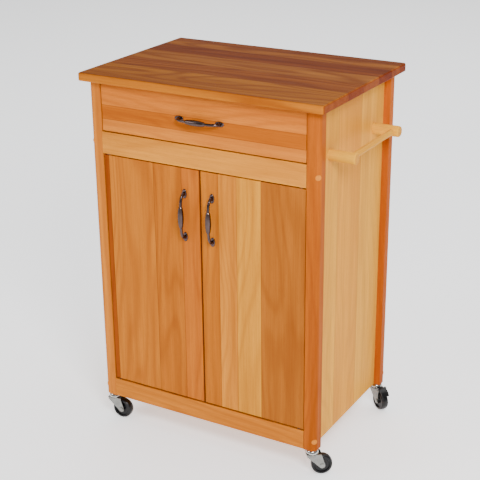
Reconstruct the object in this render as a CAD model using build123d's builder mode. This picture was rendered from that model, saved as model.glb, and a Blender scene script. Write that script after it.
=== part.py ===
from build123d import *
from math import cos, radians, sin
import os

# Rolling kitchen cabinet with a butcher block top: one drawer, two doors, a towel bar
# on its right side and four swivel casters. Millimetres, +Z up, the doors face -Y.

os.makedirs("parts", exist_ok=True)

# ---- driving dimensions ----
top_width = 610
top_depth = 425
top_thick = 19
total_height = 876
top_corner_round = 6
top_upper_round = 4
top_lower_round = 2.5
side_overhang = 16
end_overhang = 18
post_size = 30
post_round = 12
post_ease = 2
post_foot = 66
panel_thick = 14
rail_thick = 22
bottom_rail_top = 113
mid_rail_bottom = 690
mid_rail_top = 742
back_thick = 6
back_inset = 12
front_thick = 18
front_recess = 2.5
edge_ease = 1.5

door_end_gap = 2
door_head_gap = 3
door_meeting_gap = 4
meeting_offset = -3
drawer_foot_gap = 1.5
drawer_head_gap = 2

pull_centres = 102
pull_reach = 25

bar_reach = 337
bar_spacing = 227
bar_height = 743
bar_inset = 17
peg_radius = 12.5
bar_radius = 7

drawer_travel = 240
shelf_height = 400
wheel_radius = 25
wheel_trail = 22
fork_gap = 20.6

fit = 0.05
running_gap = 0.4

# ---- places worked out from them ----
# The origin is under the middle of the outer box, which reaches from the top's left edge
# to the towel bar and from the pulls' front to the top's rear edge.
half_width = top_width / 2 - side_overhang
half_depth = top_depth / 2 - end_overhang
pull_overhang = pull_reach - end_overhang - front_recess
mid_x = (top_width / 2 - bar_reach) / 2
mid_y = pull_overhang / 2

top_underside = total_height - top_thick
front_face = mid_y - half_depth
rear_face = mid_y + half_depth
inner_half = half_width - post_size
post_centre_x = half_width - post_size / 2
post_centre_y = half_depth - post_size / 2
rail_back = front_face + rail_thick
door_face = front_face + front_recess
door_back = door_face + front_thick
bay_front = front_face + post_size
bay_rear = rear_face - post_size
left_wall = mid_x - inner_half
right_wall = mid_x + inner_half

corners = {
    "front_left": (-1, -1),
    "front_right": (1, -1),
    "rear_left": (-1, 1),
    "rear_right": (1, 1),
}
sides = {"left": -1, "right": 1}

# Rest directions of the four casters, in degrees from +X.
caster_turns = {"front_left": 7, "front_right": 35, "rear_left": 20, "rear_right": -35}
braked_casters = ("rear_left", "rear_right")


# ---- fasteners, each made once with its head at the origin and its tip along -Z ----
def turned(points):
    """Return the solid of revolution about Z of an outline given as (radius, height) points."""
    with BuildPart() as body:
        with BuildSketch(Plane.XZ):
            with BuildLine():
                Polyline(*points, close=True)
            make_face()
        revolve(axis=Axis.Z)
    return body.part


def with_cross_slot(blank, slot_length, slot_depth):
    """Cut a cross for the driver into the top face of a screw blank."""
    with BuildPart() as screw:
        add(blank)
        with Locations((0, 0, -slot_depth / 2)):
            Box(slot_length, slot_length / 4, slot_depth, mode=Mode.SUBTRACT)
            Box(slot_length / 4, slot_length, slot_depth, mode=Mode.SUBTRACT)
    return screw.part


wood_screw_length = 20
wood_screw_hole = turned(
    [(0, 0), (4, 0), (2, -3), (2, -wood_screw_length + 3), (0, -wood_screw_length)]
)
wood_screw = with_cross_slot(wood_screw_hole, 4, 1.2)

corner_screw_length = 50
corner_screw_hole = turned(
    [(0, 0), (4.5, 0), (2.25, -4), (2.25, -corner_screw_length + 4), (0, -corner_screw_length)]
)
corner_screw = with_cross_slot(corner_screw_hole, 5, 1.5)

pull_screw_head = 2.5
screw_in_pull = 7
pull_screw_length = front_thick + screw_in_pull
pull_screw_radius = 2
pull_screw_blank = turned(
    [
        (0, pull_screw_head),
        (3, pull_screw_head),
        (4.5, 0),
        (pull_screw_radius, 0),
        (pull_screw_radius, -pull_screw_length),
        (0, -pull_screw_length),
    ]
)
with BuildPart() as pull_screw:
    add(pull_screw_blank)
    with Locations((0, 0, pull_screw_head - 0.6)):
        Box(4, 1, 1.2, mode=Mode.SUBTRACT)
        Box(1, 4, 1.2, mode=Mode.SUBTRACT)

# ---- corner screws: driven through each post's rounded corner at 45 degrees ----
# The plug hides the screw head. Distances run from the post's centre to its corner.
plug_radius = 6.5
plug_seat = 8
corner_surface = (post_size / 2 - post_round) * 2**0.5 + post_round
plug_crown = corner_surface + 1.5
corner_screw_heights = (
    (post_foot + bottom_rail_top) / 2,
    (mid_rail_bottom + mid_rail_top) / 2,
)


def corner_planes(corner):
    """Planes at the plug seats of one post, with +Z pointing out of its rounded corner."""
    side, end = corners[corner]
    planes = []
    for height in corner_screw_heights:
        seat = plug_seat / 2**0.5
        origin = (
            mid_x + side * (post_centre_x + seat),
            mid_y + end * (post_centre_y + seat),
            height,
        )
        planes.append(Plane(origin=origin, x_dir=(0, 0, 1), z_dir=(side, end, 0)))
    return planes


all_corner_planes = [plane for corner in corners for plane in corner_planes(corner)]

# The plug stands a little proud of the rounded corner, with a domed crown.
plug_rim = corner_surface - plug_seat - 0.8
dome_rise = plug_crown - plug_seat - plug_rim
dome_radius = (plug_radius**2 + dome_rise**2) / (2 * dome_rise)
dome_middle = plug_rim + dome_rise - dome_radius + (dome_radius**2 - (plug_radius / 2) ** 2) ** 0.5
with BuildPart() as corner_plug:
    with BuildSketch(Plane.XZ):
        with BuildLine():
            Polyline((0, plug_rim + dome_rise), (0, 0), (plug_radius, 0), (plug_radius, plug_rim))
            ThreePointArc(
                (plug_radius, plug_rim),
                (plug_radius / 2, dome_middle),
                (0, plug_rim + dome_rise),
            )
        make_face()
    revolve(axis=Axis.Z)
with BuildPart() as corner_bore:
    Cylinder(plug_radius, post_size, align=(Align.CENTER, Align.CENTER, Align.MIN))
    add(corner_screw_hole)

# ---- top ----
stretcher_thick = 12
stretcher_width = 40
stretcher_bottom = top_underside - stretcher_thick
top_screw_spread = 200
stretcher_rows = (
    rail_back + stretcher_width / 2,
    rear_face - back_thick - back_inset - stretcher_width / 2,
)
top_screw_planes = [
    Plane(origin=(mid_x + across, row, stretcher_bottom), z_dir=(0, 0, -1))
    for row in stretcher_rows
    for across in (-top_screw_spread, 0, top_screw_spread)
]

with BuildPart() as butcher_block_top:
    with BuildSketch(Plane.XY.offset(top_underside)):
        with Locations((mid_x, mid_y)):
            RectangleRounded(top_width, top_depth, top_corner_round)
    extrude(amount=top_thick)
    fillet(butcher_block_top.edges().group_by(Axis.Z)[-1], top_upper_round)
    fillet(butcher_block_top.edges().group_by(Axis.Z)[0], top_lower_round)
    with Locations(*top_screw_planes):
        add(wood_screw_hole, mode=Mode.SUBTRACT)
butcher_block_top.part.label = "butcher_block_top"
export_step(butcher_block_top.part, "parts/butcher_block_top.step")

with BuildPart() as top_stretchers:
    with Locations(*[(mid_x, row, top_underside - stretcher_thick / 2) for row in stretcher_rows]):
        Box(2 * inner_half, stretcher_width, stretcher_thick)
    with Locations(*top_screw_planes):
        add(wood_screw_hole, mode=Mode.SUBTRACT)
top_stretchers.part.label = "top_stretchers"
export_step(top_stretchers.part, "parts/top_stretchers.step")

# ---- joints between posts, rails and panels ----
tongue_thick = 6
tongue_depth = 8
tenon_thick = 8
tenon_length = 8
tenon_shoulder = 6
tongue_x = inner_half + panel_thick / 2
back_groove_y = rear_face - back_inset - back_thick / 2
through = 3 * total_height
rail_middle_y = (front_face + rail_back) / 2
rails = {
    "bottom_rail": (post_foot, bottom_rail_top),
    "mid_rail": (mid_rail_bottom, mid_rail_top),
}

# ---- caster seats under the posts ----
insert_radius = 6
insert_length = 18
insert_flange = 1.2
stem_radius = 4

for corner, (side, end) in corners.items():
    centre = (mid_x + side * post_centre_x, mid_y + end * post_centre_y)
    with BuildPart() as post:
        with BuildSketch(Plane.XY.offset(post_foot)) as outline:
            with Locations(centre):
                Rectangle(post_size, post_size)
            by_distance = outline.vertices().sort_by_distance((mid_x, mid_y, 0))
            fillet(by_distance[1:3], post_ease)
            fillet(outline.vertices().sort_by_distance((mid_x, mid_y, 0))[-1], post_round)
        extrude(amount=top_underside - post_foot)
        # Groove for the side panel's tongue.
        groove_y = mid_y + end * (half_depth - post_size + tongue_depth / 2)
        with Locations((mid_x + side * tongue_x, groove_y, 0)):
            Box(tongue_thick, tongue_depth, through, mode=Mode.SUBTRACT)
        # Mortises for the rails, or the groove for the back panel.
        mortise_x = mid_x + side * (inner_half + tenon_length / 2)
        if end < 0:
            for low, high in rails.values():
                mortise_height = high - low - 2 * tenon_shoulder
                with Locations((mortise_x, rail_middle_y, (low + high) / 2)):
                    Box(tenon_length, tenon_thick, mortise_height, mode=Mode.SUBTRACT)
        else:
            with Locations((mid_x + side * (inner_half + tongue_thick / 2), back_groove_y, 0)):
                Box(tongue_thick, back_thick, through, mode=Mode.SUBTRACT)
        # Seat of the caster's insert, and the holes of the corner screws and their plugs.
        with Locations((*centre, post_foot + insert_length / 2)):
            Cylinder(insert_radius, insert_length, mode=Mode.SUBTRACT)
        for plane in corner_planes(corner):
            with Locations(plane):
                add(corner_bore.part, mode=Mode.SUBTRACT)
    post.part.label = corner + "_post"
    export_step(post.part, f"parts/{corner}_post.step")

with BuildPart() as corner_plugs:
    with Locations(*all_corner_planes):
        add(corner_plug.part)
corner_plugs.part.label = "corner_plugs"
export_step(corner_plugs.part, "parts/corner_plugs.step")

with BuildPart() as corner_screws:
    with Locations(*all_corner_planes):
        add(corner_screw)
corner_screws.part.label = "corner_screws"
export_step(corner_screws.part, "parts/corner_screws.step")

# ---- front rails ----
hinge_inset = 13.5
hinge_depth = 5
hinge_y = door_face + hinge_depth
bushing_radius = 5
bushing_length = 12
bushing_flange = 1.5
bushing_lip = 1
pin_radius = 3
hinge_reach = inner_half - hinge_inset
hinge_places = {name: (mid_x + side * hinge_reach, hinge_y) for name, side in sides.items()}

for name, (low, high) in rails.items():
    with BuildPart() as rail:
        with Locations((mid_x, rail_middle_y, (low + high) / 2)):
            Box(2 * inner_half, rail_thick, high - low)
        face_edges = rail.edges().filter_by(Axis.X).group_by(Axis.Y)[0]
        fillet(face_edges, edge_ease)
        with Locations((mid_x, rail_middle_y, (low + high) / 2)):
            Box(2 * (inner_half + tenon_length), tenon_thick, high - low - 2 * tenon_shoulder)
        bearing_face = high if name == "bottom_rail" else low
        toward_door = 1 if name == "bottom_rail" else -1
        bushing_middle = bearing_face - toward_door * bushing_length / 2
        with Locations(*[(*place, bushing_middle) for place in hinge_places.values()]):
            Cylinder(bushing_radius, bushing_length, mode=Mode.SUBTRACT)
    rail.part.label = name
    export_step(rail.part, f"parts/{name}.step")

with BuildPart() as hinge_bushings:
    for bearing_face, toward_door in ((bottom_rail_top, 1), (mid_rail_bottom, -1)):
        for place in hinge_places.values():
            with Locations((*place, bearing_face - toward_door * bushing_length / 2)):
                Cylinder(bushing_radius, bushing_length)
            with Locations((*place, bearing_face + toward_door * bushing_flange / 2)):
                Cylinder(bushing_radius + bushing_lip, bushing_flange)
            with Locations((*place, bearing_face + toward_door * (bushing_flange - bushing_length) / 2)):
                Cylinder(pin_radius + fit, bushing_flange + bushing_length, mode=Mode.SUBTRACT)
hinge_bushings.part.label = "hinge_bushings"
export_step(hinge_bushings.part, "parts/hinge_bushings.step")

# ---- side panels and back ----
shelf_pin_radius = 2.5
shelf_pin_seat = 8
shelf_pin_reach = 10
shelf_pin_lip = 2
shelf_pin_spread = 125
shelf_pin_rows = (mid_y - shelf_pin_spread, mid_y + shelf_pin_spread)
shelf_pin_pitch = 32
shelf_pin_z = shelf_height - shelf_pin_radius
shelf_pin_steps = (-2, -1, 0, 1, 2)

runner_thick = 8
runner_height = 16
runner_end_gap = 2
runner_z = 790
runner_screw_spread = 130
runner_screw_rows = (mid_y - runner_screw_spread, mid_y, mid_y + runner_screw_spread)

spigot_radius = 7.5
spigot_length = 10
peg_rows = (mid_y - bar_spacing / 2, mid_y + bar_spacing / 2)
peg_screw_planes = [Plane(origin=(right_wall, row, bar_height), z_dir=(-1, 0, 0)) for row in peg_rows]


def runner_screw_planes(side):
    """Planes of the screws that hold one drawer runner to its side panel."""
    face = mid_x + side * (inner_half - runner_thick)
    return [Plane(origin=(face, row, runner_z), z_dir=(-side, 0, 0)) for row in runner_screw_rows]


for name, side in sides.items():
    wall = mid_x + side * inner_half
    panel_height = top_underside - post_foot
    panel_middle_z = (top_underside + post_foot) / 2
    with BuildPart() as panel:
        with Locations((wall + side * panel_thick / 2, mid_y, panel_middle_z)):
            Box(panel_thick, bay_rear - bay_front, panel_height)
            Box(tongue_thick, bay_rear - bay_front + 2 * tongue_depth, panel_height)
        with Locations(*runner_screw_planes(side)):
            add(wood_screw_hole, mode=Mode.SUBTRACT)
        for row in shelf_pin_rows:
            for step in shelf_pin_steps:
                hole_z = shelf_pin_z + step * shelf_pin_pitch
                with Locations((wall + side * shelf_pin_seat / 2, row, hole_z)):
                    Cylinder(shelf_pin_radius, shelf_pin_seat, rotation=(0, 90, 0), mode=Mode.SUBTRACT)
        for corner in corners:
            if corners[corner][0] == side:
                with Locations(*corner_planes(corner)):
                    add(corner_screw_hole, mode=Mode.SUBTRACT)
        if side > 0:
            for row in peg_rows:
                with Locations((wall + panel_thick - spigot_length / 2, row, bar_height)):
                    Cylinder(spigot_radius, spigot_length, rotation=(0, 90, 0), mode=Mode.SUBTRACT)
            with Locations(*peg_screw_planes):
                add(wood_screw_hole, mode=Mode.SUBTRACT)
    panel.part.label = name + "_side_panel"
    export_step(panel.part, f"parts/{name}_side_panel.step")

with BuildPart() as back_panel:
    with Locations((mid_x, back_groove_y, (top_underside + post_foot) / 2)):
        Box(2 * (inner_half + tongue_thick), back_thick, top_underside - post_foot)
back_panel.part.label = "back_panel"
export_step(back_panel.part, "parts/back_panel.step")

# ---- corner blocks inside, which take the corner screws ----
block_size = 30
block_height = 25
block_rail_margin = 6
back_face = back_groove_y - back_thick / 2
floor_thick = 12
floor_bottom = bottom_rail_top - floor_thick
block_spans = (
    (floor_bottom - block_height, floor_bottom),
    (mid_rail_bottom + block_rail_margin, mid_rail_top - block_rail_margin),
)
block_rows = (rail_back + block_size / 2, back_face - block_size / 2)
block_x = inner_half - block_size / 2
block_places = [(mid_x + side * block_x, row) for side in sides.values() for row in block_rows]

with BuildPart() as corner_blocks:
    for low, high in block_spans:
        with Locations(*[(*place, (low + high) / 2) for place in block_places]):
            Box(block_size, block_size, high - low)
    with Locations(*all_corner_planes):
        add(corner_screw_hole, mode=Mode.SUBTRACT)
corner_blocks.part.label = "corner_blocks"
export_step(corner_blocks.part, "parts/corner_blocks.step")

# ---- cabinet floor, its cleats, and the shelf ----
cleat_size = 20
cleat_side_length = block_rows[1] - block_rows[0] - block_size
cleat_rear_length = 2 * (inner_half - block_size)
cleat_x = inner_half - cleat_size / 2
cleat_z = floor_bottom - cleat_size / 2
with BuildPart() as floor_cleats:
    for side in (-1, 1):
        with Locations((mid_x + side * cleat_x, sum(block_rows) / 2, cleat_z)):
            Box(cleat_size, cleat_side_length, cleat_size)
    with Locations((mid_x, back_face - cleat_size / 2, cleat_z)):
        Box(cleat_rear_length, cleat_size, cleat_size)
floor_cleats.part.label = "floor_cleats"
export_step(floor_cleats.part, "parts/floor_cleats.step")

with BuildPart() as cabinet_floor:
    with Locations((mid_x, (rail_back + back_face) / 2, bottom_rail_top - floor_thick / 2)):
        Box(2 * inner_half, back_face - rail_back, floor_thick)
cabinet_floor.part.label = "cabinet_floor"
export_step(cabinet_floor.part, "parts/cabinet_floor.step")

shelf_thick = 16
shelf_side_gap = 1.5
shelf_edge_round = 2
shelf_setback = 36
shelf_back_gap = 4
shelf_front = front_face + shelf_setback
shelf_rear = back_face - shelf_back_gap
with BuildPart() as shelf:
    with Locations((mid_x, (shelf_front + shelf_rear) / 2, shelf_height + shelf_thick / 2)):
        Box(2 * (inner_half - shelf_side_gap), shelf_rear - shelf_front, shelf_thick)
    fillet(shelf.edges().filter_by(Axis.X).group_by(Axis.Y)[0], shelf_edge_round)
shelf.part.label = "shelf"
export_step(shelf.part, "parts/shelf.step")

with BuildPart() as shelf_pins:
    for side in (-1, 1):
        wall = mid_x + side * inner_half
        for row in shelf_pin_rows:
            with Locations((wall + side * (shelf_pin_seat - shelf_pin_reach) / 2, row, shelf_pin_z)):
                Cylinder(shelf_pin_radius, shelf_pin_seat + shelf_pin_reach, rotation=(0, 90, 0))
            with Locations((wall - side * shelf_side_gap / 2, row, shelf_pin_z)):
                Cylinder(shelf_pin_radius + shelf_pin_lip, shelf_side_gap, rotation=(0, 90, 0))
shelf_pins.part.label = "shelf_pins"
export_step(shelf_pins.part, "parts/shelf_pins.step")

# ---- towel bar ----
bar_x = mid_x + bar_reach - bar_inset
bar_end_depth = 4
bar_length = bar_spacing - 2 * bar_end_depth
peg_end_round = 4
with BuildPart() as towel_pegs:
    peg_root = right_wall + panel_thick
    peg_length = mid_x + bar_reach - peg_root
    with Locations(*[(peg_root + peg_length / 2, row, bar_height) for row in peg_rows]):
        Cylinder(peg_radius, peg_length, rotation=(0, 90, 0))
    fillet(towel_pegs.edges().group_by(Axis.X)[-1], peg_end_round)
    with Locations(*[(peg_root - spigot_length / 2, row, bar_height) for row in peg_rows]):
        Cylinder(spigot_radius, spigot_length, rotation=(0, 90, 0))
    with Locations((bar_x, mid_y, bar_height)):
        Cylinder(bar_radius, bar_length, rotation=(90, 0, 0), mode=Mode.SUBTRACT)
    with Locations(*peg_screw_planes):
        add(wood_screw_hole, mode=Mode.SUBTRACT)
towel_pegs.part.label = "towel_pegs"
export_step(towel_pegs.part, "parts/towel_pegs.step")

with BuildPart() as towel_rod:
    with Locations((bar_x, mid_y, bar_height)):
        Cylinder(bar_radius, bar_length, rotation=(90, 0, 0))
towel_rod.part.label = "towel_rod"
export_step(towel_rod.part, "parts/towel_rod.step")

# ---- drawer runners, and the screws of the cabinet ----
with BuildPart() as drawer_runners:
    for side in (-1, 1):
        with Locations((mid_x + side * (inner_half - runner_thick / 2), mid_y, runner_z)):
            Box(runner_thick, bay_rear - bay_front - 2 * runner_end_gap, runner_height)
        with Locations(*runner_screw_planes(side)):
            add(wood_screw_hole, mode=Mode.SUBTRACT)
drawer_runners.part.label = "drawer_runners"
export_step(drawer_runners.part, "parts/drawer_runners.step")

all_runner_planes = runner_screw_planes(-1) + runner_screw_planes(1)
with BuildPart() as wood_screws:
    with Locations(*top_screw_planes, *peg_screw_planes, *all_runner_planes):
        add(wood_screw)
wood_screws.part.label = "wood_screws"
export_step(wood_screws.part, "parts/wood_screws.step")

# ---- door stop strip and magnetic catches behind the middle rail ----
strip_end_gap = 10
strip_length = 2 * (inner_half - block_size - strip_end_gap)
strip_thick = 18
strip_bottom = 672
catch_width = 44
catch_depth = 14
catch_height = 13
catch_offset = 34
magnet_reach = 0.6
strike_thick = 1
catch_face = door_back + strike_thick + running_gap
catch_z = strip_bottom - catch_height / 2
catch_places = [mid_x + side * catch_offset for side in sides.values()]
catch_mouth = 32
with BuildPart() as door_stop_strip:
    with Locations((mid_x, rail_back + strip_thick / 2, (strip_bottom + mid_rail_top) / 2)):
        Box(strip_length, strip_thick, mid_rail_top - strip_bottom)
door_stop_strip.part.label = "door_stop_strip"
export_step(door_stop_strip.part, "parts/door_stop_strip.step")

with BuildPart() as magnetic_catches:
    with Locations(*[(place, catch_face + catch_depth / 2, catch_z) for place in catch_places]):
        Box(catch_width, catch_depth, catch_height)
    fillet(magnetic_catches.edges().filter_by(Axis.Z), edge_ease)
    with Locations(*[(place, catch_face + magnet_reach / 2, catch_z) for place in catch_places]):
        Box(catch_mouth, magnet_reach, 5, mode=Mode.SUBTRACT)
        Box(catch_mouth - 4, magnet_reach, 2)
magnetic_catches.part.label = "magnetic_catches"
export_step(magnetic_catches.part, "parts/magnetic_catches.step")

# ---- pull, made once: local X runs along it and local Z out of the face ----
grip_radius = 6.8
grip_end_radius = 4.8
grip_half = 22
grip_nose = 3
neck_radius = 3.2
boss_height = 8
foot_length = 22
foot_width = 12
foot_thick = 2.4
pull_axis_out = pull_reach - grip_radius
with BuildPart() as pull_shape:
    for end in (-1, 1):
        with BuildSketch(Plane.XY):
            with Locations((end * pull_centres / 2, 0)):
                Ellipse(foot_length / 2, foot_width / 2)
        extrude(amount=foot_thick)
    fillet(pull_shape.edges().group_by(Axis.Z)[-1], 1.6)
    for end in (-1, 1):
        with Locations((end * pull_centres / 2, 0, boss_height / 2)):
            Cone(5, 4, boss_height)
        with BuildLine() as neck_path:
            Spline(
                (end * pull_centres / 2, 0, boss_height - 2),
                (end * grip_half, 0, pull_axis_out),
                tangents=[(-end * 0.35, 0, 1), (-end, 0, 0.12)],
            )
        with BuildSketch(Plane(origin=neck_path.line @ 0, z_dir=neck_path.line % 0)):
            Circle(neck_radius)
        sweep(path=neck_path.line)
    grip_end = pull_axis_out + grip_end_radius
    nose_end = grip_half + grip_nose
    with BuildSketch(Plane.XZ):
        with BuildLine():
            Polyline(
                (-nose_end, pull_axis_out),
                (-nose_end, pull_axis_out + neck_radius + fit),
                (-grip_half, grip_end),
            )
            ThreePointArc((-grip_half, grip_end), (0, pull_reach), (grip_half, grip_end))
            Polyline(
                (grip_half, grip_end),
                (nose_end, pull_axis_out + neck_radius + fit),
                (nose_end, pull_axis_out),
                (-nose_end, pull_axis_out),
            )
        make_face()
    revolve(axis=Axis(origin=(0, 0, pull_axis_out), direction=(1, 0, 0)))
    for end in (-1, 1):
        with Locations((end * pull_centres / 2, 0, screw_in_pull / 2)):
            Cylinder(pull_screw_radius, screw_in_pull, mode=Mode.SUBTRACT)


def pull_plane(x, z, upright):
    """Plane of a pull on the front: local X along the pull, local Z towards the user."""
    along = (0, 0, 1) if upright else (1, 0, 0)
    return Plane(origin=(x, door_face, z), x_dir=along, z_dir=(0, -1, 0))


def pull_screw_planes(x, z, upright):
    """Planes of a pull's two screws, with their heads on the front's inner side."""
    shift = pull_centres / 2
    spots = [(x, z - shift), (x, z + shift)] if upright else [(x - shift, z), (x + shift, z)]
    return [Plane(origin=(spot_x, door_back, spot_z), z_dir=(0, 1, 0)) for spot_x, spot_z in spots]


def save_pull(name, x, z, upright):
    """Write one pull and its screws."""
    with BuildPart() as pull:
        with Locations(pull_plane(x, z, upright)):
            add(pull_shape.part)
    pull.part.label = name
    export_step(pull.part, f"parts/{name}.step")
    with BuildPart() as screws:
        with Locations(*pull_screw_planes(x, z, upright)):
            add(pull_screw.part)
    screws.part.label = name + "_screws"
    export_step(screws.part, f"parts/{name}_screws.step")


# ---- drawer ----
drawer_gap = 1.5
drawer_bottom_z = mid_rail_top + drawer_foot_gap
drawer_top_z = top_underside - drawer_head_gap
drawer_side_thick = 14
drawer_side_low = 752
drawer_side_high = 826
drawer_side_reach = 136
drawer_side_rear = mid_y + drawer_side_reach
drawer_tail = 6
drawer_back_thick = 12
drawer_ply = 5
drawer_ply_z = 762
drawer_groove = 5
drawer_outer = inner_half - drawer_gap
drawer_inner = drawer_outer - drawer_side_thick
drawer_back_y = drawer_side_rear - drawer_back_thick / 2 - drawer_tail
drawer_middle_z = (drawer_bottom_z + drawer_top_z) / 2

with BuildPart() as drawer_front:
    with Locations((mid_x, (door_face + door_back) / 2, drawer_middle_z)):
        Box(2 * drawer_outer, front_thick, drawer_top_z - drawer_bottom_z)
    fillet(drawer_front.faces().sort_by(Axis.Y)[0].edges(), edge_ease)
    with Locations((mid_x, door_back - drawer_groove / 2, drawer_ply_z)):
        Box(2 * (drawer_inner + drawer_groove), drawer_groove, drawer_ply, mode=Mode.SUBTRACT)
    with Locations(*pull_screw_planes(mid_x, drawer_middle_z, False)):
        add(pull_screw_blank, mode=Mode.SUBTRACT)
drawer_front.part.label = "drawer_front"
export_step(drawer_front.part, "parts/drawer_front.step")

side_length = drawer_side_rear - door_back
side_middle_y = door_back + side_length / 2
side_middle_z = (drawer_side_low + drawer_side_high) / 2
runner_groove = runner_thick - drawer_gap + 1
for name, side in sides.items():
    with BuildPart() as drawer_side:
        side_x = mid_x + side * (drawer_inner + drawer_side_thick / 2)
        with Locations((side_x, side_middle_y, side_middle_z)):
            Box(drawer_side_thick, side_length, drawer_side_high - drawer_side_low)
        # Groove that rides on the runner.
        with Locations((mid_x + side * (drawer_outer - runner_groove / 2), side_middle_y, runner_z)):
            Box(runner_groove, side_length, runner_height + 2 * running_gap, mode=Mode.SUBTRACT)
        # Groove for the plywood bottom.
        with Locations((mid_x + side * (drawer_inner + drawer_groove / 2), side_middle_y, drawer_ply_z)):
            Box(drawer_groove, side_length, drawer_ply, mode=Mode.SUBTRACT)
    drawer_side.part.label = f"drawer_{name}_side"
    export_step(drawer_side.part, f"parts/drawer_{name}_side.step")

with BuildPart() as drawer_back:
    back_low = drawer_ply_z + drawer_ply / 2
    with Locations((mid_x, drawer_back_y, (back_low + drawer_side_high) / 2)):
        Box(2 * drawer_inner, drawer_back_thick, drawer_side_high - back_low)
drawer_back.part.label = "drawer_back"
export_step(drawer_back.part, "parts/drawer_back.step")

with BuildPart() as drawer_bottom:
    ply_front = door_back - drawer_groove
    ply_rear = drawer_back_y + drawer_back_thick / 2
    with Locations((mid_x, (ply_front + ply_rear) / 2, drawer_ply_z)):
        Box(2 * (drawer_inner + drawer_groove), ply_rear - ply_front, drawer_ply)
drawer_bottom.part.label = "drawer_bottom"
export_step(drawer_bottom.part, "parts/drawer_bottom.step")

save_pull("drawer_pull", mid_x, drawer_middle_z, False)

# A block under the front stretcher, which the drawer's back meets at full travel.
stop_width = 50
stop_thick = 12
stop_overlap = 5
stop_gap = 1
stop_rear = drawer_back_y - drawer_back_thick / 2 - drawer_travel - stop_gap
stop_low = drawer_side_high - stop_overlap
with BuildPart() as drawer_stop:
    with Locations((mid_x, stop_rear - stop_thick / 2, (stop_low + stretcher_bottom) / 2)):
        Box(stop_width, stop_thick, stretcher_bottom - stop_low)
drawer_stop.part.label = "drawer_stop"
export_step(drawer_stop.part, "parts/drawer_stop.step")

# ---- doors ----
# The doors meet a little left of the middle, and each pull has its own distance from there.
door_side_gap = 1.5
door_low = bottom_rail_top + door_end_gap
door_high = mid_rail_bottom - door_head_gap
door_middle_z = (door_low + door_high) / 2
door_pull_insets = {"left": 40, "right": 31}
door_pull_z = 577
pin_in_door = 20
pin_in_bushing = 10
pin_length = pin_in_door + door_low - bottom_rail_top + pin_in_bushing
strike_width = 36
strike_height = 14
strike_round = 3

for name, side in sides.items():
    meeting_edge = side * meeting_offset + door_meeting_gap / 2
    door_width = inner_half - door_side_gap - meeting_edge
    door_middle_x = mid_x + side * (meeting_edge + door_width / 2)
    hinge_x, pivot_y = hinge_places[name]
    pin_places = [
        (hinge_x, pivot_y, door_low + pin_in_door - pin_length / 2),
        (hinge_x, pivot_y, door_high - pin_in_door + pin_length / 2),
    ]
    pull_x = mid_x + meeting_offset + side * door_pull_insets[name]
    strike_place = (mid_x + side * catch_offset, door_back + strike_thick / 2, catch_z)

    with BuildPart() as door:
        with Locations((door_middle_x, (door_face + door_back) / 2, door_middle_z)):
            Box(door_width, front_thick, door_high - door_low)
        fillet(door.faces().sort_by(Axis.Y)[0].edges(), edge_ease)
        with Locations(*pin_places):
            Cylinder(pin_radius, pin_length, mode=Mode.SUBTRACT)
        with Locations(*pull_screw_planes(pull_x, door_pull_z, True)):
            add(pull_screw_blank, mode=Mode.SUBTRACT)
    door.part.label = name + "_door"
    export_step(door.part, f"parts/{name}_door.step")

    with BuildPart() as door_pins:
        with Locations(*pin_places):
            Cylinder(pin_radius, pin_length)
    door_pins.part.label = name + "_door_pins"
    export_step(door_pins.part, f"parts/{name}_door_pins.step")

    with BuildPart() as strike_plate:
        with Locations(strike_place):
            Box(strike_width, strike_thick, strike_height)
        fillet(strike_plate.edges().filter_by(Axis.Y), strike_round)
    strike_plate.part.label = name + "_strike_plate"
    export_step(strike_plate.part, f"parts/{name}_strike_plate.step")

    save_pull(name + "_door_pull", pull_x, door_pull_z, True)

# ---- casters: made about the stem axis, with the wheel trailing along local +X ----
plate_thick = 2
plate_top = 54
plate_bottom = plate_top - plate_thick
cap_bottom = plate_top + running_gap
cap_top = post_foot - insert_flange
axle_radius = 3
hub_length = fork_gap - 2 * running_gap
tread_width = 18
fork_outer = fork_gap / 2 + plate_thick
brake_pivot = (24, 55.5)
brake_pin_radius = 2
ear_radius = 4.5


def caster_plane(corner):
    """Plane on the ground under one post, turned to the caster's rest direction."""
    side, end = corners[corner]
    turn = radians(caster_turns[corner])
    origin = (mid_x + side * post_centre_x, mid_y + end * post_centre_y, 0)
    return Plane(origin=origin, x_dir=(cos(turn), sin(turn), 0), z_dir=(0, 0, 1))


post_planes = [caster_plane(corner) for corner in corners]

insert_shape = turned(
    [
        (stem_radius, cap_top),
        (9, cap_top),
        (9, post_foot),
        (insert_radius, post_foot),
        (insert_radius, post_foot + insert_length),
        (stem_radius, post_foot + insert_length),
    ]
)
with BuildPart() as caster_inserts:
    with Locations(*post_planes):
        add(insert_shape)
caster_inserts.part.label = "caster_inserts"
export_step(caster_inserts.part, "parts/caster_inserts.step")

# Stem with its domed raceway cap and the riveted head that carries the fork.
with BuildPart() as stem_shape:
    with BuildSketch(Plane.XZ):
        with BuildLine():
            Polyline(
                (0, 47.5),
                (5.5, 47.5),
                (6.5, 48.5),
                (6.5, plate_bottom - running_gap),
                (stem_radius, plate_bottom - running_gap),
                (stem_radius, cap_bottom),
                (14, cap_bottom),
                (14.5, cap_bottom + 2.5),
            )
            ThreePointArc((14.5, cap_bottom + 2.5), (13, cap_bottom + 6.5), (9, cap_top))
            Polyline(
                (9, cap_top),
                (stem_radius, cap_top),
                (stem_radius, post_foot + insert_length - 3),
                (stem_radius - 1, post_foot + insert_length - 2),
                (0, post_foot + insert_length - 2),
                (0, 47.5),
            )
        make_face()
    revolve(axis=Axis.Z)
with BuildPart() as caster_stems:
    with Locations(*post_planes):
        add(stem_shape.part)
caster_stems.part.label = "caster_stems"
export_step(caster_stems.part, "parts/caster_stems.step")


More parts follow.
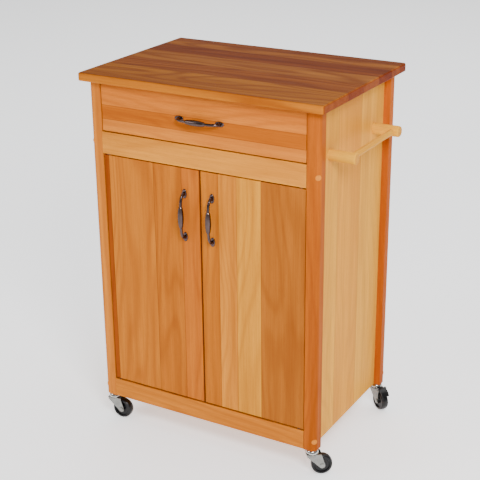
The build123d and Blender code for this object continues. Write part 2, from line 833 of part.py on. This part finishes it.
def fork_shape(with_brake):
    """Sheet fork: a top plate and two side plates that taper down to the axle."""
    with BuildPart() as fork:
        for side in (-1, 1):
            plane = Plane.XZ.offset(side * (fork_gap + plate_thick) / 2 - plate_thick / 2)
            with BuildSketch(plane):
                with BuildLine():
                    CenterArc((wheel_trail, wheel_radius), 7, 0, 360)
                    Line((-12, plate_top), (20, plate_top))
                    Line((-12, plate_top), (-13, plate_bottom - 3))
                make_hull()
                if with_brake:
                    with Locations(brake_pivot):
                        Circle(ear_radius)
                    Polygon(
                        (12, plate_bottom),
                        (brake_pivot[0] - ear_radius + 0.2, brake_pivot[1] + 1),
                        (brake_pivot[0] + ear_radius - 0.1, brake_pivot[1] - 1),
                        (wheel_trail + 6, wheel_radius + 6),
                        align=None,
                    )
            extrude(amount=plate_thick)
        with BuildSketch(Plane.XY.offset(plate_bottom)):
            Rectangle(28, 2 * fork_outer)
            Circle(15)
        extrude(amount=plate_thick)
        Cylinder(stem_radius + fit, 200, mode=Mode.SUBTRACT)
        with Locations((wheel_trail, 0, wheel_radius)):
            Cylinder(axle_radius, 60, rotation=(90, 0, 0), mode=Mode.SUBTRACT)
        if with_brake:
            with Locations((brake_pivot[0], 0, brake_pivot[1])):
                Cylinder(brake_pin_radius + fit, 60, rotation=(90, 0, 0), mode=Mode.SUBTRACT)
    return fork.part


with BuildPart() as axle_shape:
    with Locations((wheel_trail, 0, wheel_radius)):
        Cylinder(axle_radius, 2 * fork_outer, rotation=(90, 0, 0))
    for side in (-1, 1):
        with Locations((wheel_trail, side * (fork_outer + 0.75), wheel_radius)):
            Cylinder(5, 1.5, rotation=(90, 0, 0))

# Wheel: hub, dished web and a crowned tread.
with BuildPart() as wheel_shape:
    with BuildSketch(Plane.XY):
        with BuildLine():
            half_tread = tread_width / 2
            Polyline(
                (axle_radius + fit, 0),
                (axle_radius + fit, hub_length / 2),
                (7.5, hub_length / 2),
                (8.5, half_tread - 3),
                (17.5, half_tread - 3),
                (18.5, half_tread),
                (wheel_radius - 3, half_tread),
            )
            ThreePointArc(
                (wheel_radius - 3, half_tread),
                (wheel_radius - 1.2, half_tread - 1.8),
                (wheel_radius - 0.6, half_tread - 4.5),
            )
            ThreePointArc(
                (wheel_radius - 0.6, half_tread - 4.5),
                (wheel_radius - 0.12, 2),
                (wheel_radius, 0),
            )
            Line((wheel_radius, 0), (axle_radius + fit, 0))
        make_face()
        mirror(about=Plane.XZ)
    revolve(axis=Axis.Y)

# Brake lever: a curved hood over the wheel, on two stub pins between the fork's raised ears.
with BuildPart() as lever_shape:
    with BuildSketch(Plane.XZ.offset(-hub_length / 2)):
        with Locations(brake_pivot):
            Circle(3.2)
        with BuildLine():
            ThreePointArc((brake_pivot[0], brake_pivot[1] + 3.2), (38, 55), (46, 44.5))
            Line((46, 44.5), (43.6, 44))
            ThreePointArc((43.6, 44), (36.5, 51.6), (brake_pivot[0], brake_pivot[1] - 3.2))
            Line((brake_pivot[0], brake_pivot[1] - 3.2), (brake_pivot[0], brake_pivot[1] + 3.2))
        make_face()
    extrude(amount=hub_length)
    with Locations((brake_pivot[0], 0, brake_pivot[1])):
        Cylinder(brake_pin_radius, 2 * fork_outer, rotation=(90, 0, 0))

for corner in corners:
    plane = caster_plane(corner)
    braked = corner in braked_casters

    with BuildPart() as fork:
        with Locations(plane):
            add(fork_shape(braked))
    fork.part.label = corner + "_fork"
    export_step(fork.part, f"parts/{corner}_fork.step")

    with BuildPart() as axle:
        with Locations(plane):
            add(axle_shape.part)
    axle.part.label = corner + "_axle"
    export_step(axle.part, f"parts/{corner}_axle.step")

    with BuildPart() as wheel:
        with Locations(plane * Location((wheel_trail, 0, wheel_radius))):
            add(wheel_shape.part)
    wheel.part.label = corner + "_wheel"
    export_step(wheel.part, f"parts/{corner}_wheel.step")

    if braked:
        with BuildPart() as lever:
            with Locations(plane):
                add(lever_shape.part)
        lever.part.label = corner + "_brake_lever"
        export_step(lever.part, f"parts/{corner}_brake_lever.step")
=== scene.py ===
import math

import bpy
from mathutils import Matrix, Vector


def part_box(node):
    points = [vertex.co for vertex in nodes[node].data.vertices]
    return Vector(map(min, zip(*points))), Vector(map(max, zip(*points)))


# Looks for the rolling kitchen cart: woods, metals and plastics, studio light and camera.
# Everything is in metres, in the CAD frame, and placed from the CAD nodes' own boxes.

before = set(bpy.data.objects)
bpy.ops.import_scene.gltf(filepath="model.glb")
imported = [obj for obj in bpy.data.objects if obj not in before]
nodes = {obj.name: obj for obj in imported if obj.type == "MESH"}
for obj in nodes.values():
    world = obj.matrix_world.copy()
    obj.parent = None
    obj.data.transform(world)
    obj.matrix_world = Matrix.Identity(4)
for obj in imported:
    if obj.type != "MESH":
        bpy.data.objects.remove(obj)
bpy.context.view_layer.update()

slab_low, slab_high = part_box("butcher_block_top")
slab_middle = (slab_low + slab_high) / 2
MIDDLE_X = slab_middle.x
MIDDLE_Y = slab_middle.y


def srgb(red, green, blue):
    """Linear colour with alpha from 0-255 screen values."""

    def linear(value):
        value = value / 255
        return value / 12.92 if value <= 0.04045 else ((value + 0.055) / 1.055) ** 2.4

    return (linear(red), linear(green), linear(blue), 1)


class Graph:
    """A material's node tree, with short calls that add a node and return its output."""

    def __init__(self, name):
        self.material = bpy.data.materials.new(name)
        self.material.use_nodes = True
        self.tree = self.material.node_tree
        self.tree.nodes.clear()
        output = self.tree.nodes.new("ShaderNodeOutputMaterial")
        self.shader = self.tree.nodes.new("ShaderNodeBsdfPrincipled")
        self.tree.links.new(self.shader.outputs["BSDF"], output.inputs["Surface"])

    def put(self, value, socket):
        """Link an output to a socket, or set a constant on it."""
        if isinstance(value, bpy.types.NodeSocket):
            self.tree.links.new(value, socket)
        else:
            socket.default_value = value

    def object_space(self, output="Object"):
        return self.tree.nodes.new("ShaderNodeTexCoord").outputs[output]

    def split(self, vector):
        node = self.tree.nodes.new("ShaderNodeSeparateXYZ")
        self.put(vector, node.inputs[0])
        return list(node.outputs)

    def join(self, x, y, z):
        node = self.tree.nodes.new("ShaderNodeCombineXYZ")
        for value, socket in zip((x, y, z), node.inputs):
            self.put(value, socket)
        return node.outputs[0]

    def math(self, operation, first, second=0.0):
        node = self.tree.nodes.new("ShaderNodeMath")
        node.operation = operation
        self.put(first, node.inputs[0])
        self.put(second, node.inputs[1])
        return node.outputs[0]

    def noise(self, vector, detail=3.0, roughness=0.5, distortion=0.0):
        node = self.tree.nodes.new("ShaderNodeTexNoise")
        node.inputs["Scale"].default_value = 1
        node.inputs["Detail"].default_value = detail
        node.inputs["Roughness"].default_value = roughness
        node.inputs["Distortion"].default_value = distortion
        self.put(vector, node.inputs["Vector"])
        return node.outputs["Fac"]

    def random(self, value):
        node = self.tree.nodes.new("ShaderNodeTexWhiteNoise")
        node.noise_dimensions = "1D"
        self.put(value, node.inputs["W"])
        return node.outputs["Value"]

    def mix(self, factor, first, second, blend="MIX"):
        node = self.tree.nodes.new("ShaderNodeMix")
        node.data_type = "RGBA"
        node.blend_type = blend
        self.put(factor, node.inputs["Factor"])
        self.put(first, node.inputs["A"])
        self.put(second, node.inputs["B"])
        return node.outputs["Result"]

    def span(self, value, low, high, to_low=0.0, to_high=1.0):
        node = self.tree.nodes.new("ShaderNodeMapRange")
        for socket, number in zip(node.inputs[1:5], (low, high, to_low, to_high)):
            socket.default_value = number
        self.put(value, node.inputs[0])
        return node.outputs[0]

    def bump(self, height, strength, distance):
        node = self.tree.nodes.new("ShaderNodeBump")
        node.inputs["Strength"].default_value = strength
        node.inputs["Distance"].default_value = distance
        self.put(height, node.inputs["Height"])
        self.put(node.outputs["Normal"], self.shader.inputs["Normal"])

    def set(self, **values):
        for name, value in values.items():
            self.put(value, self.shader.inputs[name.replace("_", " ")])


AXES = {"X": 0, "Y": 1, "Z": 2}
AIM_HEIGHT = 0.45
# The display transform pales warm colours, so every wood tint is multiplied by this to make up for it.
WARMING = (0.88, 0.83, 0.36, 1)
# Painted shade, not a real finish: narrow edges of the fronts are darkened to keep their gaps readable.
DARKER_EDGE = (0.60, 0.50, 0.44, 1)


def wood(
    name,
    grain,
    across,
    tints,
    seams=(),
    seed=0.0,
    figure=1.0,
    streak=1.0,
    top_tint=None,
    end_tint=None,
    dark_edges=False,
):
    """Glued boards: grain along one axis, one tint per board, seams at places on another axis."""
    graph = Graph(name)
    parts = graph.split(graph.object_space())
    along_value = parts[AXES[grain]]
    across_value = parts[AXES[across]]
    deep_value = parts[3 - AXES[grain] - AXES[across]]

    index = seed
    tint = tints[0]
    seam_line = 0.0
    for place, next_tint in zip(seams, tints[1:]):
        past = graph.math("GREATER_THAN", across_value, place)
        index = graph.math("ADD", index, past)
        tint = graph.mix(past, tint, next_tint)
        near = graph.math("ABSOLUTE", graph.math("SUBTRACT", across_value, place))
        seam_line = graph.math("MAXIMUM", seam_line, graph.span(near, 0.0002, 0.0009, 1, 0))
    shift = graph.math("MULTIPLY", graph.random(index), 7.0)

    def stretched(along_scale, across_scale, deep_scale=None):
        """Coordinates stretched along the grain, different on every board."""
        deep_scale = across_scale if deep_scale is None else deep_scale
        along = graph.math("ADD", graph.math("MULTIPLY", along_value, along_scale), shift)
        side = graph.math("ADD", graph.math("MULTIPLY", across_value, across_scale), shift)
        return graph.join(along, side, graph.math("MULTIPLY", deep_value, deep_scale))

    # Growth rings: contour lines of a long smooth field, as on a plain-sawn board.
    field = graph.noise(stretched(1.7, 9.0), detail=1.5, roughness=0.4, distortion=0.2)
    rings = graph.math("MULTIPLY", field, 62.0)
    rings = graph.math("ADD", rings, graph.math("MULTIPLY", across_value, 160.0))
    rings = graph.span(graph.math("SINE", rings), -1, 1)
    rings = graph.math("POWER", rings, 2.6)
    # Broad light and dark streaks, fine fibres, and open pores.
    broad = graph.noise(stretched(1.1, 26.0), detail=4.0, roughness=0.62)
    fibre = graph.noise(stretched(9.0, 420.0), detail=3.0, roughness=0.6)
    pores = graph.span(graph.noise(stretched(55.0, 1500.0), detail=1.0), 0.60, 0.72)

    dark = graph.mix(1.0, tint, (0.50, 0.34, 0.26, 1), "MULTIPLY")
    light = graph.mix(1.0, tint, (1.14, 1.18, 1.20, 1), "MULTIPLY")
    colour = graph.mix(graph.span(broad, 0.30, 0.72, 0.5 - 0.42 * streak, 0.5 + 0.36 * streak), dark, light)
    colour = graph.mix(0.22, colour, tint)
    colour = graph.mix(graph.math("MULTIPLY", rings, 0.46 * figure), colour, dark)
    colour = graph.mix(graph.span(fibre, 0.42, 0.75, 0.0, 0.30), colour, dark)
    colour = graph.mix(graph.math("MULTIPLY", pores, 0.35), colour, dark)
    if seams:
        darkest = graph.mix(1.0, dark, dark, "MULTIPLY")
        colour = graph.mix(graph.math("MULTIPLY", seam_line, 0.55), colour, darkest)

    colour = graph.mix(1.0, colour, WARMING, "MULTIPLY")

    normal = graph.split(graph.object_space("Normal"))
    # Painted shade: upward faces are multiplied by top_tint to darken them.
    if top_tint is not None:
        upward = graph.span(normal[2], 0.5, 0.95)
        topped = graph.mix(1.0, colour, top_tint, "MULTIPLY")
        colour = graph.mix(upward, colour, topped)
    if dark_edges:
        edges = graph.span(graph.math("ABSOLUTE", normal[AXES[across]]), 0.75, 0.95)
        colour = graph.mix(edges, colour, graph.mix(1.0, colour, DARKER_EDGE, "MULTIPLY"))
    # End grain is darker, with short speckles in place of long fibres.
    speckle = graph.noise(stretched(300.0, 420.0), detail=4.0, roughness=0.7)
    end_colour = graph.mix(graph.span(speckle, 0.35, 0.7, 0.25, 0.95), colour, dark)
    if end_tint is not None:
        end_colour = graph.mix(1.0, end_colour, end_tint, "MULTIPLY")
    ends = graph.span(graph.math("ABSOLUTE", normal[AXES[grain]]), 0.6, 0.85)
    colour = graph.mix(ends, colour, end_colour)

    graph.set(Base_Color=colour)
    graph.set(Roughness=graph.span(fibre, 0.3, 0.7, 0.38, 0.54))
    graph.set(IOR=1.25, Specular_IOR_Level=0.12)
    relief = graph.math("ADD", graph.math("MULTIPLY", fibre, 0.6), graph.math("MULTIPLY", pores, -0.7))
    relief = graph.math("ADD", relief, graph.math("MULTIPLY", seam_line, -1.5))
    graph.bump(relief, 0.22, 0.0004)
    return graph.material


def metal(name, tint, roughness, brushed="Z", tarnish=0.35):
    """Satin metal: fine brushing along one axis, darker tarnished patches scattered at random."""
    graph = Graph(name)
    parts = graph.split(graph.object_space())
    scales = [1400.0, 1400.0, 1400.0]
    scales[AXES[brushed]] = 60.0
    scaled = [graph.math("MULTIPLY", part, scale) for part, scale in zip(parts, scales)]
    lines = graph.noise(graph.join(*scaled), 2.0)
    patches = graph.noise(graph.join(*[graph.math("MULTIPLY", part, 90.0) for part in parts]), 3.0)
    worn = tuple(channel * 0.45 for channel in tint[:3]) + (1,)
    colour = graph.mix(graph.span(patches, 0.35, 0.7, 0.0, tarnish), tint, worn)
    graph.set(Base_Color=colour, Metallic=1.0)
    graph.set(Roughness=graph.span(lines, 0.3, 0.7, roughness * 0.8, roughness * 1.25))
    graph.bump(lines, 0.10, 0.00008)
    return graph.material


def plastic(name, tint, roughness, grain=900.0, coat=0.0):
    """Moulded plastic or hard rubber with a fine texture and slight tone changes."""
    graph = Graph(name)
    parts = graph.split(graph.object_space())
    fine = graph.noise(graph.join(*[graph.math("MULTIPLY", part, grain) for part in parts]), 2.0)
    patches = graph.noise(graph.join(*[graph.math("MULTIPLY", part, 70.0) for part in parts]), 3.0)
    pale = tuple(min(1.0, channel * 1.6 + 0.004) for channel in tint[:3]) + (1,)
    graph.set(Base_Color=graph.mix(graph.span(patches, 0.35, 0.75, 0.0, 0.6), tint, pale))
    graph.set(Roughness=graph.span(fine, 0.3, 0.7, roughness * 0.85, roughness * 1.2))
    graph.set(Coat_Weight=coat, Specular_IOR_Level=0.3)
    graph.bump(fine, 0.12, 0.0001)
    return graph.material


def dress(node, material):
    """Give a CAD node one material."""
    mesh = nodes[node].data
    mesh.materials.clear()
    mesh.materials.append(material)


# ---- the woods, board by board ----
def dress_top():
    """Butcher block: wide boards along X, brown on top with painted shade on its upward faces, golden at
    the front edge.
    """
    tints = [
        srgb(208, 130, 52),
        srgb(184, 104, 50),
        srgb(206, 130, 72),
        srgb(170, 88, 42),
        srgb(200, 122, 66),
        srgb(178, 98, 50),
    ]
    seams = [MIDDLE_Y + place for place in (-0.096, -0.020, 0.060, 0.130, 0.175)]
    # Painted shade: this tint darkens the block's upward faces.
    painted_top_shade = (0.50, 0.50, 0.52, 1)
    soaked = (0.62, 0.46, 0.42, 1)
    top = wood("block_wood", "X", "Y", tints, seams, 3.0, 1.7, 1.2, top_tint=painted_top_shade, end_tint=soaked)
    dress("butcher_block_top", top)


def dress_front():
    """Drawer front, rails and doors, each glued from its own boards."""
    low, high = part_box("drawer_front")
    strips = [low.z + 0.256 * (high.z - low.z), low.z + 0.543 * (high.z - low.z)]
    tints = [srgb(234, 146, 78), srgb(204, 114, 36), srgb(222, 132, 66)]
    mid_tints = [srgb(238, 162, 82)]
    bottom_tints = [srgb(226, 142, 64)]
    drawer = wood("drawer_wood", "X", "Z", tints, strips, 11.0, 0.6, dark_edges=True)
    mid = wood("mid_rail_wood", "X", "Z", mid_tints, (), 21.0, 0.55, dark_edges=True)
    bottom = wood("bottom_rail_wood", "X", "Z", bottom_tints, (), 26.0, 0.7, dark_edges=True)
    dress("drawer_front", drawer)
    dress("mid_rail", mid)
    dress("bottom_rail", bottom)

    # The first tint colours a narrow dark strip from the left door's left edge to its first seam.
    left_tints = [srgb(168, 83, 26), srgb(217, 134, 58), srgb(203, 120, 48), srgb(219, 128, 56)]
    left_seams = [MIDDLE_X + place for place in (-0.245, -0.125, -0.051)]
    left = wood("left_door_wood", "Z", "X", left_tints, left_seams, 31.0, 0.8, dark_edges=True)
    dress("left_door", left)
    right_tints = [srgb(210, 126, 46), srgb(239, 160, 76), srgb(239, 168, 72), srgb(190, 115, 54)]
    right_seams = [MIDDLE_X + place for place in (0.044, 0.089, 0.150)]
    right = wood("right_door_wood", "Z", "X", right_tints, right_seams, 41.0, 0.7, dark_edges=True)
    dress("right_door", right)


def dress_posts():
    post_tints = {
        "front_left_post": srgb(226, 140, 70),
        "front_right_post": srgb(192, 102, 34),
        "rear_left_post": srgb(222, 138, 66),
        "rear_right_post": srgb(206, 108, 40),
    }
    for number, (post, tint) in enumerate(post_tints.items()):
        dress(post, wood(post + "_wood", "Z", "X", [tint], (), 51.0 + 4 * number, 0.5, 1.2))


def dress_sides():
    seams = [MIDDLE_Y + place for place in (-0.070, 0.045)]
    tints = [srgb(250, 184, 86), srgb(246, 174, 80), srgb(251, 186, 92)]
    for number, panel in enumerate(("left_side_panel", "right_side_panel")):
        side = wood(panel + "_wood", "Z", "Y", tints, seams, 71.0 + 9 * number, 0.35, 0.6)
        dress(panel, side)
    low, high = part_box("back_panel")
    back_seams = [low.x + (high.x - low.x) * part / 4 for part in (1, 2, 3)]
    back_tints = [srgb(230, 158, 84), srgb(222, 148, 76), srgb(234, 162, 86), srgb(226, 152, 78)]
    dress("back_panel", wood("back_wood", "Z", "X", back_tints, back_seams, 91.0, 0.5, 0.6))


def dress_small_wood():
    pale = srgb(232, 168, 96)
    dress("towel_pegs", wood("peg_wood", "X", "Y", [srgb(253, 192, 86)], (), 101.0, 0.3, 0.6))
    dress("towel_rod", wood("rod_wood", "Y", "X", [srgb(250, 186, 86)], (), 104.0, 0.3, 0.6))
    dress("corner_plugs", wood("plug_wood", "Z", "X", [srgb(244, 158, 78)], (), 107.0, 0.2, 0.4))
    flat = ("shelf", "cabinet_floor", "top_stretchers", "door_stop_strip", "drawer_stop")
    for number, node in enumerate(flat):
        dress(node, wood(node + "_wood", "X", "Y", [pale], (), 111.0 + 3 * number, 0.6, 0.7))
    fore_and_aft = ("drawer_left_side", "drawer_right_side", "drawer_runners", "floor_cleats")
    for number, node in enumerate(fore_and_aft):
        dress(node, wood(node + "_wood", "Y", "Z", [pale], (), 131.0 + 3 * number, 0.5, 0.6))
    for number, node in enumerate(("drawer_back", "drawer_bottom")):
        dress(node, wood(node + "_wood", "X", "Z", [pale], (), 147.0 + 3 * number, 0.5, 0.6))
    dress("corner_blocks", wood("block_corner_wood", "Z", "X", [pale], (), 157.0, 0.5, 0.6))


# ---- metals and plastics ----
def dress_hardware():
    pewter = srgb(84, 70, 68)
    dress("drawer_pull", metal("pewter_long", pewter, 0.2, "X"))
    for pull in ("left_door_pull", "right_door_pull"):
        dress(pull, metal(pull + "_pewter", pewter, 0.2, "Z"))
    screw = metal("screw_zinc", srgb(178, 176, 168), 0.32, "Z", 0.2)
    for node in ("wood_screws", "corner_screws", "shelf_pins", "left_door_pins", "right_door_pins"):
        dress(node, screw)
    for pull in ("drawer_pull", "left_door_pull", "right_door_pull"):
        dress(pull + "_screws", screw)
    for plate in ("left_strike_plate", "right_strike_plate"):
        dress(plate, metal(plate + "_zinc", srgb(186, 184, 178), 0.3, "X", 0.25))
    dress("hinge_bushings", plastic("bushing_brown", srgb(74, 44, 26), 0.5))
    dress("magnetic_catches", plastic("catch_brown", srgb(112, 74, 46), 0.42))


def dress_casters():
    zinc = metal("caster_zinc", srgb(142, 142, 138), 0.28, "Z", 0.4)
    bright = metal("caster_bright", srgb(196, 194, 188), 0.16, "Z", 0.2)
    tyre = plastic("caster_black", srgb(6, 5, 7), 0.34, coat=0.04)
    dress("caster_inserts", zinc)
    dress("caster_stems", bright)
    for node in nodes:
        if node.endswith("_fork") or node.endswith("_axle"):
            dress(node, zinc)
        if node.endswith("_wheel") or node.endswith("_brake_lever"):
            dress(node, tyre)


# ---- floor, light and camera ----
def make_floor():
    """A wide pale floor, slightly glowing so that it stays close to white."""
    size = 60.0
    mesh = bpy.data.meshes.new("studio_floor")
    corners = [(-size, -size, 0), (size, -size, 0), (size, size, 0), (-size, size, 0)]
    mesh.from_pydata(corners, [], [(0, 1, 2, 3)])
    floor = bpy.data.objects.new("studio_floor", mesh)
    bpy.context.scene.collection.objects.link(floor)
    graph = Graph("studio_white")
    graph.set(Base_Color=(0.85, 0.86, 0.88, 1), Roughness=0.8, Specular_IOR_Level=0.1)
    graph.set(Emission_Color=(1, 1, 1, 1), Emission_Strength=0.85)
    mesh.materials.append(graph.material)


def make_light(name, place, size, watts, tint=(1, 1, 1)):
    """A square soft box aimed at the middle of the cart."""
    lamp = bpy.data.lights.new(name, "AREA")
    lamp.size = size
    lamp.energy = watts
    lamp.color = tint
    light = bpy.data.objects.new(name, lamp)
    light.location = place
    aim = Vector((MIDDLE_X, MIDDLE_Y, AIM_HEIGHT)) - light.location
    light.rotation_euler = aim.to_track_quat("-Z", "Y").to_euler()
    bpy.context.scene.collection.objects.link(light)


def make_world():
    world = bpy.data.worlds.new("studio_world")
    world.use_nodes = True
    background = world.node_tree.nodes["Background"]
    background.inputs["Color"].default_value = (1, 1, 1, 1)
    background.inputs["Strength"].default_value = 0.35
    bpy.context.scene.world = world


def make_camera():
    """The view that the cart was pictured from: in front, to its right and above."""
    yaw, pitch, roll = (math.radians(angle) for angle in (30.10, 21.73, -0.586))
    forward = Vector((-math.sin(yaw) * math.cos(pitch), math.cos(yaw) * math.cos(pitch), -math.sin(pitch)))
    level = Vector((math.cos(yaw), math.sin(yaw), 0))
    upright = level.cross(forward)
    right = math.cos(roll) * level + math.sin(roll) * upright
    up = math.cos(roll) * upright - math.sin(roll) * level
    turn = Matrix((right, up, -forward)).transposed()
    lens = bpy.data.cameras.new("camera")
    lens.lens = 88.1
    lens.sensor_width = 36
    lens.shift_x = -0.0051
    lens.shift_y = 0.0047
    camera = bpy.data.objects.new("camera", lens)
    place = (MIDDLE_X + 1.2968, MIDDLE_Y - 2.2500, 1.4883)
    camera.matrix_world = Matrix.Translation(place) @ turn.to_4x4()
    bpy.context.scene.collection.objects.link(camera)
    bpy.context.scene.camera = camera


# ---- the picture, then every node's looks ----
make_camera()
make_floor()
make_world()
make_light("key_box", (1.45, -1.6, 2.0), 0.7, 72)
make_light("fill_box", (-1.9, -2.0, 1.9), 1.2, 24)
make_light("sky_box", (0.0, 2.0, 5.0), 7.0, 330)

dress_top()
dress_front()
dress_posts()
dress_sides()
dress_small_wood()
dress_hardware()
dress_casters()
